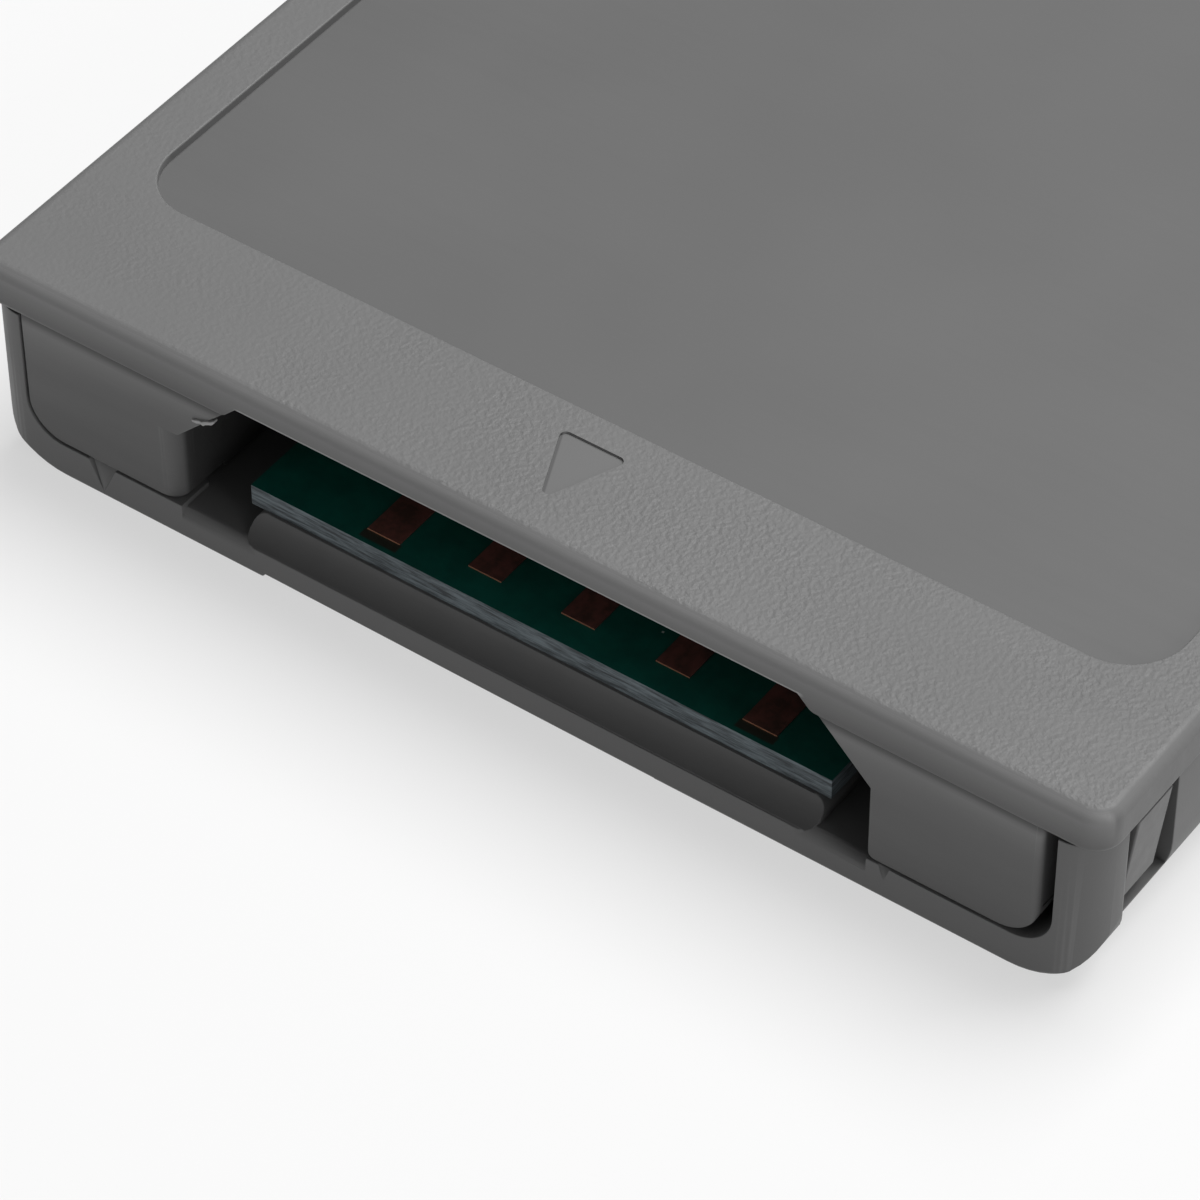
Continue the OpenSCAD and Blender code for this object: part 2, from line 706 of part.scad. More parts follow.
// Chip component with two end caps, between the slot and the socket
module chip(x, h) {
    from_front() translate([x - chip_w / 2, chip_row_y - chip_l / 2, board_top_z]) {
        translate([chip_plate_t, chip_cap_l / 2, chip_plate_t])
            cube([chip_w - 2 * chip_plate_t, chip_l - chip_cap_l, h - 2 * chip_plate_t]);
        for (y = [0, chip_l - chip_cap_l]) translate([0, y, 0]) cube([chip_w, chip_cap_l, h]);
    }
}

module filter_capacitor() { color("tan") chip(capacitor_x, capacitor_h); }
module detect_resistor() { color("#181818") chip(detect_resistor_x, resistor_h); }
module protect_resistor() { color("#181818") chip(protect_resistor_x, resistor_h); }

top_shell();
bottom_shell();
circuit_board();
for (i = [1:edge_contact_count]) edge_contact(i);
card_socket_body();
card_socket_cover();
for (i = [1:spring_count]) socket_spring(i);
side_spring(0);  // card_detect_spring
side_spring(1);  // write_protect_spring
filter_capacitor();
detect_resistor();
protect_resistor();
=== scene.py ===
"""Memory card adapter: the looks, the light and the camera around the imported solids.

Everything is in metres in the row frame: +Z is up out of the lid, -Y is out of the front slot and +X is to the
right seen from the front. Sizes are written in millimetres and turned to metres where a mesh is made.
"""
import logging
import math
from dataclasses import dataclass, field
from enum import Enum
from typing import Any

import bmesh
import bpy
from mathutils import Matrix, Vector


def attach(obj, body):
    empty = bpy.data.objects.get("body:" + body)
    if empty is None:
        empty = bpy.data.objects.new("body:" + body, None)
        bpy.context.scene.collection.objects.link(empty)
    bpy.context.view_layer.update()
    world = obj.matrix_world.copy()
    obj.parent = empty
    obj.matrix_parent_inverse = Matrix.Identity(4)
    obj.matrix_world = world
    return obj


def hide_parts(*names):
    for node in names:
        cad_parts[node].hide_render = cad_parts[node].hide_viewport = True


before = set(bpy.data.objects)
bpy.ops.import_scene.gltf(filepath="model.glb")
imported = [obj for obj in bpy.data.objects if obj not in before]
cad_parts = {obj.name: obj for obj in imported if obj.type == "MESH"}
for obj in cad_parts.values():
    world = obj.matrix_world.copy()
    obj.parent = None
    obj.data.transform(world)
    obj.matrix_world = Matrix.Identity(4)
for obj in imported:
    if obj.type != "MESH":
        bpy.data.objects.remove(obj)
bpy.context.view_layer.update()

MM = 0.001

log = logging.getLogger("adapter")


class Facing(Enum):
    """Which way a face looks, as the axis of its normal and the sign along that axis."""

    UP = ("Z", 1)
    FRONT = ("Y", -1)


def linear(colour: str) -> tuple[float, float, float, float]:
    """Turns an sRGB hex colour into linear values with full opacity.

    Args:
        colour: Six hex digits, such as "7c7c7c".

    Returns:
        Red, green, blue and alpha, linear, from 0 to 1.
    """
    parts = [int(colour[i:i + 2], 16) / 255 for i in (0, 2, 4)]
    red, green, blue = (p / 12.92 if p <= 0.04045 else ((p + 0.055) / 1.055) ** 2.4 for p in parts)
    return red, green, blue, 1.0


def per_mm(size_mm: float) -> float:
    """Turns the width of a pattern's features into its scale on coordinates in metres.

    Args:
        size_mm: Width of a feature.

    Returns:
        The scale.
    """
    return 1 / (size_mm * MM)


def add(
    tree: bpy.types.NodeTree,
    kind: str,
    settings: dict[str, Any] | None = None,
    inputs: dict[str | int, Any] | None = None,
) -> bpy.types.Node:
    """Adds a node with its settings, values and links.

    Args:
        tree: The node tree that takes the node.
        kind: The node's type, such as "ShaderNodeMath".
        settings: Properties of the node and their values.
        inputs: For each input socket a value, or another node's output socket, which is then linked to it.

    Returns:
        The new node.
    """
    node = tree.nodes.new(kind)
    for name, value in (settings or {}).items():
        setattr(node, name, value)
    for name, value in (inputs or {}).items():
        if isinstance(value, bpy.types.NodeSocket):
            tree.links.new(value, node.inputs[name])
        else:
            node.inputs[name].default_value = value
    return node


def noise(
    tree: bpy.types.NodeTree,
    place: bpy.types.NodeSocket,
    size_mm: float,
    detail: float = 2.0,
    roughness: float = 0.5,
) -> bpy.types.NodeSocket:
    """Adds a cloudy pattern.

    Args:
        tree: The node tree that takes the pattern.
        place: The coordinates that it reads.
        size_mm: Width of its largest features.
        detail: Number of finer layers on top of them.
        roughness: Strength of those layers.

    Returns:
        The pattern's socket, from 0 to 1.
    """
    return add(tree, "ShaderNodeTexNoise", inputs={
        "Vector": place, "Scale": per_mm(size_mm), "Detail": detail, "Roughness": roughness}).outputs["Fac"]


def ranged(
    tree: bpy.types.NodeTree,
    value: bpy.types.NodeSocket,
    source: tuple[float, float],
    target: tuple[float, float] = (0.0, 1.0),
) -> bpy.types.NodeSocket:
    """Adds a straight-line map of one range onto another, which stays within its ends.

    Args:
        tree: The node tree.
        value: The value's socket.
        source: Ends of the value's range.
        target: What those ends become.

    Returns:
        The mapped value's socket.
    """
    return add(tree, "ShaderNodeMapRange", {"clamp": True}, {
        "Value": value, "From Min": source[0], "From Max": source[1],
        "To Min": target[0], "To Max": target[1]}).outputs["Result"]


def opposite(tree: bpy.types.NodeTree, mask: bpy.types.NodeSocket) -> bpy.types.NodeSocket:
    """Turns a mask round.

    Args:
        tree: The node tree.
        mask: The mask's socket.

    Returns:
        The socket of a mask that is 1 where the first is 0.
    """
    return add(tree, "ShaderNodeMath", {"operation": "SUBTRACT"}, {0: 1.0, 1: mask}).outputs[0]


def shaded(
    tree: bpy.types.NodeTree,
    colour: bpy.types.NodeSocket | tuple[float, float, float, float],
    shade: bpy.types.NodeSocket | tuple[float, float, float, float],
    part: bpy.types.NodeSocket | float = 1.0,
) -> bpy.types.NodeSocket:
    """Multiplies a colour by a shade.

    Args:
        tree: The node tree.
        colour: The colour.
        shade: What it is multiplied by.
        part: How much of the shade is taken, from 0 to 1.

    Returns:
        The shaded colour's socket.
    """
    return add(tree, "ShaderNodeMix", {"data_type": "RGBA", "blend_type": "MULTIPLY"}, {
        "Factor": part, "A": colour, "B": shade}).outputs["Result"]


def facing(tree: bpy.types.NodeTree, way: Facing, least: float, full: float) -> bpy.types.NodeSocket:
    """Adds a mask that is 1 on the faces that look one way.

    Args:
        tree: The node tree that takes the mask.
        way: Where those faces look.
        least: Part of the normal along that way at which the mask starts.
        full: Part of it at which the mask is full.

    Returns:
        The mask's socket.
    """
    axis, sign = way.value
    normal = add(tree, "ShaderNodeNewGeometry").outputs["True Normal"]
    along = add(tree, "ShaderNodeSeparateXYZ", inputs={0: normal}).outputs[axis]
    return ranged(tree, along, (sign * least, sign * full))


def inside(tree: bpy.types.NodeTree, value: bpy.types.NodeSocket, middle_mm: float,
           half_mm: float, soft_mm: float = 0.02) -> bpy.types.NodeSocket:
    """Adds a mask that is 1 in a band of one coordinate.

    Args:
        tree: The node tree that takes the mask.
        value: The coordinate, in metres.
        middle_mm: Middle of the band.
        half_mm: Half of its width.
        soft_mm: Width of its soft edge.

    Returns:
        The mask's socket.
    """
    shifted = add(tree, "ShaderNodeMath", {"operation": "SUBTRACT"}, {0: value, 1: middle_mm * MM})
    away = add(tree, "ShaderNodeMath", {"operation": "ABSOLUTE"}, {0: shifted.outputs[0]})
    return ranged(tree, away.outputs[0], (half_mm * MM, (half_mm + soft_mm) * MM), (1.0, 0.0))


def overlap(tree: bpy.types.NodeTree, *masks: bpy.types.NodeSocket) -> bpy.types.NodeSocket:
    """Multiplies masks, so that the result is 1 only where all of them are.

    Args:
        tree: The node tree.
        masks: The masks' sockets.

    Returns:
        The product's socket.
    """
    product = masks[0]
    for mask in masks[1:]:
        product = add(tree, "ShaderNodeMath", {"operation": "MULTIPLY"}, {0: product, 1: mask}).outputs[0]
    return product


def tinted(tree: bpy.types.NodeTree, mask: bpy.types.NodeSocket,
           ground: bpy.types.NodeSocket | tuple[float, float, float, float],
           tint: bpy.types.NodeSocket | tuple[float, float, float, float]) -> bpy.types.NodeSocket:
    """Mixes a second colour into a first one where a mask is 1.

    Args:
        tree: The node tree.
        mask: The mask's socket.
        ground: Colour where the mask is 0.
        tint: Colour where it is 1.

    Returns:
        The mixed colour's socket.
    """
    return add(tree, "ShaderNodeMix", {"data_type": "RGBA"}, {
        "Factor": mask, "A": ground, "B": tint}).outputs["Result"]


@dataclass(frozen=True)
class Finish:
    """A surface finish: what the material is and how its surface was made.

    Attributes:
        name: Name of the Blender material.
        colour: Main colour, sRGB hex.
        roughness: Roughness of the surface, from 0 to 1.
        ior: Index of refraction; a metal keeps the default of 1.5.
        metallic: 1 for bare metal, 0 for anything else.
        glance: Strength of the mirrored light; a surface that is rough below the eye's scale mirrors less.
    """

    name: str
    colour: str
    roughness: float = 0.5
    ior: float = 1.5
    metallic: float = 0.0
    glance: float = 0.5

    def start(self) -> tuple[bpy.types.Material, bpy.types.NodeTree, bpy.types.Node, bpy.types.NodeSocket]:
        """Makes the material with its shader and its coordinates.

        Returns:
            The material, its node tree, the shader node and the Object coordinates.
        """
        material = bpy.data.materials.new(self.name)
        material.use_nodes = True
        tree = material.node_tree
        tree.nodes.clear()
        shader = add(tree, "ShaderNodeBsdfPrincipled", inputs={
            "Base Color": linear(self.colour), "Roughness": self.roughness,
            "IOR": self.ior, "Metallic": self.metallic, "Specular IOR Level": self.glance})
        add(tree, "ShaderNodeOutputMaterial", inputs={"Surface": shader.outputs["BSDF"]})
        place = add(tree, "ShaderNodeTexCoord").outputs["Object"]
        return material, tree, shader, place

    def material(self) -> bpy.types.Material:
        """Makes the plain material.

        Returns:
            The finished material.
        """
        return self.start()[0]


@dataclass(frozen=True)
class PaperSweep(Finish):
    """White background paper that is lit from behind, so that the adapter's shadow stays faint.

    Attributes:
        glow: Strength of the light that comes through the paper.
    """

    glow: float = 0.58

    def material(self) -> bpy.types.Material:
        """Makes the paper.

        Returns:
            The finished material.
        """
        material, _, shader, _ = self.start()
        shader.inputs["Emission Color"].default_value = linear("ffffff")
        shader.inputs["Emission Strength"].default_value = self.glow
        return material


@dataclass(frozen=True)
class GrainedAbs(Finish):
    """Injection-moulded grey ABS from a spark-eroded mould.

    The flat border carries a fine, patchy grain that glints. The floors of the label recess and of the arrow
    are smooth, a little darker, with faint rub marks from cards and labels. The studio's bright floor lights the
    front more evenly than the real light did, so painted light and shade by height are drawn on the front faces:
    a painted highlight under the rim's top edge and painted shade in the crease at its foot. Painted shade also
    lies along the arrow's left wall and over the inside of the slot, with a painted highlight on the slot's top
    edge and on the arrow's base wall.

    Attributes:
        floor_colour: Colour of the smooth recess floor, sRGB hex.
        arrow_colour: Colour of the arrow's floor, sRGB hex.
        wall_shade_colour: Colour of the painted shade in a band along the arrow's left wall, sRGB hex.
        painted_highlight_colour: Colour of the painted highlight on the slot's top edge and on the arrow's base
            wall, sRGB hex.
        grain_mm: Width of the grain, drawn a little coarser than the real 0.1 mm so that it shows.
        grain_deep_mm: Depth of the grain where it is strongest.
        grain_parts: Strength of the grain in its weak and its strong patches.
        grain_worn_mm: Places across the lid between which the grain comes back from half to full strength.
        patch_mm: Width of the grain's patches.
        cloud_mm: Width of the slow drift in tone.
        rub_mm: Width of the rub marks, before they are drawn out.
        rub_turn_deg: Direction of the rub marks.
        rub_stretch: How the rub marks are drawn out along and squeezed across.
        top_mm: Height of the grained border.
        arrow_mm: Middle of the arrow's floor across the lid, along it and in height.
        arrow_half_mm: Half the size of the box that holds the arrow.
        wall_shade_side: Normal of the band of painted shade at the arrow's left side, and its distance in mm.
        wall_shade_half_mm: Half the width of that band of painted shade.
        front_painted_shading: Heights in mm with the painted light and shade of the front faces there, as parts
            of the
        main colour: a painted highlight under the rim's top edge and at the top of the tabs, painted shade in the
        crease at the rim's foot.
        front_skin_mm: Places along the lid between which the front's painted light and shade give way to the
            inside's.
        slot_edge_mm: Height of the slot's top edge, and half the thickness and half the length of its painted
            highlight.
        slot_roof_mm: Heights between which the painted shade of the inside ends.
        slot_half_mm: Half the width and half the length of the inside.
        inner_painted_shade: Painted shade over the inside of the slot, as a part of the main colour.
    """

    floor_colour: str = "525252"
    arrow_colour: str = "595959"
    # painted shade in a band along the arrow's left wall
    wall_shade_colour: str = "464646"
    # painted highlight on the slot's top edge and on the arrow's base wall
    painted_highlight_colour: str = "929292"
    grain_mm: float = 0.17
    grain_deep_mm: float = 0.12
    grain_parts: tuple[float, float] = (0.25, 0.48)
    grain_worn_mm: tuple[float, float] = (-14, -3)
    patch_mm: float = 3.2
    cloud_mm: float = 9
    rub_mm: float = 0.9
    rub_turn_deg: float = -31
    rub_stretch: tuple[float, float, float] = (0.12, 1.6, 1)
    top_mm: float = 7.95
    arrow_mm: tuple[float, float, float] = (0, -22.95, 7.87)
    arrow_half_mm: tuple[float, float, float] = (1.35, 1.5, 0.05)
    # where the painted shade along the arrow's left wall lies
    wall_shade_side: tuple[float, float, float] = (0.9171, 0.3987, -9.76)
    wall_shade_half_mm: float = 0.03
    # painted light and shade on the front faces, by height
    front_painted_shading: tuple[tuple[float, float], ...] = (
        (1.5, 0.8), (3.0, 0.9), (4.3, 0.95), (5.0, 1.05), (5.5, 1.22), (5.9, 1.45), (6.05, 1.2), (6.2, 0.72),
        (6.3, 0.55), (6.42, 0.75), (6.56, 0.9), (6.85, 1.1), (7.25, 1.34), (7.6, 1.66), (7.75, 1.66),
        (7.88, 1.4), (7.94, 1.12), (7.95, 1.0))
    front_skin_mm: tuple[float, float] = (-25.5, -25.35)
    slot_edge_mm: tuple[float, float, float] = (6.985, 0.045, 10.4)
    slot_roof_mm: tuple[float, float] = (6.9, 7.0)
    slot_half_mm: tuple[float, float] = (13.6, 25.55)
    # painted shade over the inside of the slot
    inner_painted_shade: float = 0.35

    def floors(self, tree: bpy.types.NodeTree, place: bpy.types.NodeSocket, spot: bpy.types.Node,
               floor: bpy.types.NodeSocket) -> bpy.types.NodeSocket:
        """Colours the border, the recess floor and the arrow, with painted shade and a painted highlight on its
        walls.

        Args:
            tree: The node tree.
            place: The Object coordinates.
            spot: The node that gives their parts.
            floor: Mask of the smooth floors.

        Returns:
            The colour's socket.
        """
        tone = tinted(tree, floor, linear(self.colour), linear(self.floor_colour))
        arrow = overlap(tree, *(inside(tree, spot.outputs[axis], middle, half)
                                for axis, middle, half in zip("XYZ", self.arrow_mm, self.arrow_half_mm)))
        # painted shade in a band along the arrow's left wall
        across, along, reach = self.wall_shade_side
        slanted = add(tree, "ShaderNodeVectorMath", {"operation": "DOT_PRODUCT"}, {
            0: place, 1: (across, along, 0)}).outputs["Value"]
        wall_shade = overlap(tree, arrow, inside(tree, slanted, reach, self.wall_shade_half_mm, 0.05))
        # painted highlight on the arrow's front-facing base wall
        wall = overlap(tree, arrow, facing(tree, Facing.FRONT, 0.3, 0.6))
        for mask, colour in ((arrow, self.arrow_colour), (wall_shade, self.wall_shade_colour), (wall, self.painted_highlight_colour)):
            tone = tinted(tree, mask, tone, linear(colour))
        return tone

    def front_ramp(self, tree: bpy.types.NodeTree, height: bpy.types.NodeSocket) -> bpy.types.NodeSocket:
        """Adds the front's painted light and shade by height.

        Args:
            tree: The node tree.
            height: The height's socket, in metres.

        Returns:
            The tone's socket.
        """
        top = self.front_painted_shading[-1][0]
        ramp = add(tree, "ShaderNodeValToRGB", inputs={"Fac": ranged(tree, height, (0.0, top * MM))})
        stops = ramp.color_ramp.elements
        while len(stops) < len(self.front_painted_shading):
            stops.new(0.5)
        # A ramp's colours stay within 1, so it holds half tones, which are doubled after it
        for stop, (height_mm, part) in zip(stops, self.front_painted_shading):
            stop.position = height_mm / top
            stop.color = (part / 2, part / 2, part / 2, 1)
        return add(tree, "ShaderNodeVectorMath", {"operation": "SCALE"}, {
            0: ramp.outputs["Color"], "Scale": 2.0}).outputs["Vector"]

    def toned(self, tree: bpy.types.NodeTree, tone: bpy.types.NodeSocket,
              spot: bpy.types.Node) -> bpy.types.NodeSocket:
        """Paints light and shade on the front faces by height, a highlight on the slot's top edge and shade in
        the slot.

        Args:
            tree: The node tree.
            tone: The colour so far.
            spot: The node that gives the parts of the Object coordinates.

        Returns:
            The shaded colour's socket.
        """
        across, along, height = (spot.outputs[axis] for axis in "XYZ")
        outer = ranged(tree, along, tuple(y * MM for y in self.front_skin_mm), (1.0, 0.0))
        front = overlap(tree, facing(tree, Facing.FRONT, 0.1, 0.5), outer)
        # painted light and shade on the front faces, by height
        front_light_and_shade = shaded(tree, tone, self.front_ramp(tree, height), front)
        # painted highlight along the slot's top edge
        edge_mm, thick_mm, half_mm = self.slot_edge_mm
        edge = overlap(tree, outer, inside(tree, height, edge_mm, thick_mm, 0.03),
                       inside(tree, across, 0, half_mm, 0.2))
        front_light_and_shade = tinted(tree, edge, front_light_and_shade, linear(self.painted_highlight_colour))
        # painted shade over the inside of the slot
        below = ranged(tree, height, tuple(z * MM for z in self.slot_roof_mm), (1.0, 0.0))
        slot_shade = overlap(tree, opposite(tree, outer), below, inside(tree, across, 0, self.slot_half_mm[0]),
                         inside(tree, along, 0, self.slot_half_mm[1]))
        return shaded(tree, front_light_and_shade, (self.inner_painted_shade, self.inner_painted_shade, self.inner_painted_shade, 1), slot_shade)

    def material(self) -> bpy.types.Material:
        """Makes the grained material with its smooth floors.

        Returns:
            The finished material.
        """
        material, tree, shader, place = self.start()
        spot = add(tree, "ShaderNodeSeparateXYZ", inputs={0: place})
        up = facing(tree, Facing.UP, 0.75, 0.97)
        high = ranged(tree, spot.outputs["Z"], ((self.top_mm - 0.05) * MM, (self.top_mm - 0.02) * MM))
        tone = self.floors(tree, place, spot, overlap(tree, up, opposite(tree, high)))
        # painted light and shade on the front, painted highlight on the slot's top edge, painted shade inside the
        # slot
        tone = self.toned(tree, tone, spot)
        drift = ranged(tree, noise(tree, place, self.cloud_mm), (0.3, 0.7), (0.96, 1.04))
        tree.links.new(shaded(tree, tone, drift), shader.inputs["Base Color"])
        drawn = add(tree, "ShaderNodeMapping", inputs={
            "Vector": place, "Rotation": (0, 0, math.radians(self.rub_turn_deg)), "Scale": self.rub_stretch})
        rubbed = noise(tree, drawn.outputs["Vector"], self.rub_mm, 5.0, 0.62)
        gloss = ranged(tree, rubbed, (0.35, 0.65), (self.roughness - 0.06, self.roughness + 0.02))
        tree.links.new(gloss, shader.inputs["Roughness"])
        patchy = ranged(tree, noise(tree, place, self.patch_mm), (0.38, 0.62), self.grain_parts)
        worn = ranged(tree, spot.outputs["X"], tuple(x * MM for x in self.grain_worn_mm), (0.5, 1.0))
        grain = add(tree, "ShaderNodeBump", inputs={
            "Height": noise(tree, place, self.grain_mm), "Distance": self.grain_deep_mm * MM,
            "Strength": overlap(tree, overlap(tree, up, high), patchy, worn)})
        scuff = add(tree, "ShaderNodeBump", inputs={
            "Height": rubbed, "Strength": 0.18, "Distance": 0.06 * MM, "Normal": grain.outputs["Normal"]})
        tree.links.new(scuff.outputs["Normal"], shader.inputs["Normal"])
        return material


@dataclass(frozen=True)
class PlainAbs(Finish):
    """Injection-moulded grey ABS from a plain mould: an even, slightly soft surface with slow tonal drift.

    Attributes:
        ripple_mm: Width of the slow unevenness that the mould leaves.
        fine_mm: Width of the fine unevenness.
    """

    ripple_mm: float = 2.5
    fine_mm: float = 0.12

    def surface(self) -> tuple[bpy.types.Material, bpy.types.NodeTree, bpy.types.Node,
                               bpy.types.NodeSocket, bpy.types.NodeSocket]:
        """Makes the surface with its drift, fine bump and changing gloss.

        Returns:
            The material, its node tree, the shader node, the Object coordinates and the drifting colour.
        """
        material, tree, shader, place = self.start()
        slow = noise(tree, place, self.ripple_mm, 3.0)
        tone = shaded(tree, linear(self.colour), ranged(tree, slow, (0.3, 0.7), (0.95, 1.05)))
        gloss = ranged(tree, slow, (0.3, 0.7), (self.roughness - 0.05, self.roughness + 0.07))
        tree.links.new(gloss, shader.inputs["Roughness"])
        bump = add(tree, "ShaderNodeBump", inputs={
            "Height": noise(tree, place, self.fine_mm, 2.0, 0.6), "Strength": 0.12, "Distance": 0.03 * MM})
        tree.links.new(bump.outputs["Normal"], shader.inputs["Normal"])
        return material, tree, shader, place, tone

    def material(self) -> bpy.types.Material:
        """Makes the plain moulded material.

        Returns:
            The finished material.
        """
        material, tree, shader, _, shade = self.surface()
        tree.links.new(shade, shader.inputs["Base Color"])
        return material


@dataclass(frozen=True)
class TrimmedAbs(PlainAbs):
    """The plain grey ABS of the tray, with the pale, stress-whitened cut where its gate was trimmed.

    Attributes:
        cut_colour: Colour of the cut, sRGB hex.
        gate_x_mm: Place of the gate.
        gate_half_mm: Half the width of its mark.
        lean: Part of the cut face's normal that points up.
        lean_half: How far that part may be off.
    """

    cut_colour: str = "848484"
    gate_x_mm: float = -16.35
    gate_half_mm: float = 0.8
    lean: float = 0.19
    lean_half: float = 0.05

    def material(self) -> bpy.types.Material:
        """Makes the tray's material with its trimmed gate.

        Returns:
            The finished material.
        """
        material, tree, shader, place, shade = self.surface()
        across = add(tree, "ShaderNodeSeparateXYZ", inputs={0: place}).outputs["X"]
        normal = add(tree, "ShaderNodeNewGeometry").outputs["True Normal"]
        rise = add(tree, "ShaderNodeSeparateXYZ", inputs={0: normal}).outputs["Z"]
        # A normal has no unit, so it is scaled as if it were in metres too
        leaning = inside(tree, rise, self.lean / MM, self.lean_half / MM)
        cut = overlap(tree, leaning, facing(tree, Facing.FRONT, 0.9, 0.95),
                      inside(tree, across, self.gate_x_mm, self.gate_half_mm))
        tree.links.new(tinted(tree, cut, shade, linear(self.cut_colour)), shader.inputs["Base Color"])
        return material


@dataclass(frozen=True)
class MaskedLaminate(Finish):
    """Glass laminate with a green solder mask on both faces and routed edges that show the grey fibre layers.

    The mask leaves a bare strip of laminate in front of the two long outer contacts.

    Attributes:
        edge_dark: Colour of the resin in the cut edge, sRGB hex.
        edge_pale: Colour of the cut glass fibres, sRGB hex.
        edge_roughness: Roughness of the cut edge.
        layer_mm: Thickness of a fibre layer, drawn a little coarser than the real one so that it shows.
        dapple_mm: Width of the mask's thicker and thinner patches.
        bare_colour: Colour of the bare laminate, sRGB hex.
        bare_x_mm: Middles of the bare strips across the board.
        bare_y_mm: Their middle along the board.
        bare_half_mm: Half their width and half their length.
        speck_mm: Place of a speck of dust.
        speck_half_mm: Half its width.
        speck_colour: Its colour, sRGB hex.
    """

    edge_dark: str = "30363a"
    edge_pale: str = "6c777c"
    edge_roughness: float = 0.7
    layer_mm: float = 0.11
    dapple_mm: float = 1.1
    bare_colour: str = "33342c"
    bare_x_mm: tuple[float, ...] = (-6.18, 8.02)
    bare_y_mm: float = -24.55
    bare_half_mm: tuple[float, float] = (0.68, 0.16)
    speck_mm: tuple[float, float] = (3.3, -22.74)
    speck_half_mm: float = 0.03
    speck_colour: str = "d8d8d4"

    def material(self) -> bpy.types.Material:
        """Makes the laminate with its mask, bare strips and layered edge.

        Returns:
            The finished material.
        """
        material, tree, shader, place = self.start()
        normal = add(tree, "ShaderNodeNewGeometry").outputs["Normal"]
        up = add(tree, "ShaderNodeSeparateXYZ", inputs={0: normal}).outputs["Z"]
        flat = add(tree, "ShaderNodeMath", {"operation": "ABSOLUTE"}, {0: up}).outputs[0]
        face = add(tree, "ShaderNodeMath", {"operation": "GREATER_THAN"}, {0: flat, 1: 0.5}).outputs[0]
        weave = add(tree, "ShaderNodeMapping", inputs={"Vector": place, "Scale": (0.09, 0.09, 1)})
        fibre = noise(tree, weave.outputs["Vector"], self.layer_mm, 4.0, 0.7)
        edge = add(tree, "ShaderNodeValToRGB", inputs={"Fac": fibre})
        edge.color_ramp.elements[0].position = 0.38
        edge.color_ramp.elements[0].color = linear(self.edge_dark)
        edge.color_ramp.elements[1].position = 0.62
        edge.color_ramp.elements[1].color = linear(self.edge_pale)
        depth = ranged(tree, noise(tree, place, self.dapple_mm, 3.0, 0.6), (0.3, 0.7), (0.8, 1.2))
        mask = shaded(tree, linear(self.colour), depth)
        spot = add(tree, "ShaderNodeSeparateXYZ", inputs={0: place})
        for middle in self.bare_x_mm:
            strip = overlap(tree, inside(tree, spot.outputs["X"], middle, self.bare_half_mm[0], 0.06),
                            inside(tree, spot.outputs["Y"], self.bare_y_mm, self.bare_half_mm[1], 0.06))
            mask = tinted(tree, strip, mask, linear(self.bare_colour))
        dust = overlap(tree, *(inside(tree, spot.outputs[axis], middle, self.speck_half_mm)
                               for axis, middle in zip("XY", self.speck_mm)))
        mask = tinted(tree, dust, mask, linear(self.speck_colour))
        tree.links.new(tinted(tree, face, edge.outputs["Color"], mask), shader.inputs["Base Color"])
        tree.links.new(ranged(tree, face, (0.0, 1.0), (self.edge_roughness, self.roughness)),
                       shader.inputs["Roughness"])
        return material


@dataclass(frozen=True)
class WornPlate(Finish):
    """Thin plated metal, wiped and slightly uneven in tone.

    Attributes:
        tarnish: Colour of the duller patches, sRGB hex.
        patch_mm: Width of those patches.
    """

    tarnish: str = "3a1c12"
    patch_mm: float = 0.5

    def surface(self) -> tuple[bpy.types.Material, bpy.types.NodeTree, bpy.types.Node, bpy.types.NodeSocket]:
        """Makes the plated surface with its patches.

        Returns:
            The material, its node tree, the shader node and the patchy colour.
        """
        material, tree, shader, place = self.start()
        patch = noise(tree, place, self.patch_mm, 3.0, 0.6)
        tone = tinted(tree, ranged(tree, patch, (0.4, 0.65)), linear(self.colour), linear(self.tarnish))
        gloss = ranged(tree, patch, (0.0, 1.0), (self.roughness - 0.08, self.roughness + 0.12))
        tree.links.new(gloss, shader.inputs["Roughness"])
        return material, tree, shader, tone

    def material(self) -> bpy.types.Material:
        """Makes the plated material.

        Returns:
            The finished material.
        """
        material, tree, shader, tone = self.surface()
        tree.links.new(tone, shader.inputs["Base Color"])
        return material


@dataclass(frozen=True)
class OxidisedCopper(WornPlate):
    """Etched copper contacts that have browned in air; wiping keeps the cut front edge bright.

    Attributes:
        bright: Colour of the front edge, sRGB hex.
    """

    bright: str = "d89878"

    def material(self) -> bpy.types.Material:
        """Makes the browned copper with its bright front edge.

        Returns:
            The finished material.
        """
        material, tree, shader, tone = self.surface()
        lip = facing(tree, Facing.FRONT, 0.5, 0.9)
        tree.links.new(tinted(tree, lip, tone, linear(self.bright)), shader.inputs["Base Color"])
        return material


LID_ABS = GrainedAbs("spark_eroded_grey_abs", "5e5e5e", roughness=0.55, ior=1.54, glance=0.25)
TRAY_ABS = TrimmedAbs("plain_moulded_grey_abs", "606060", roughness=0.52, ior=1.54, glance=0.25)
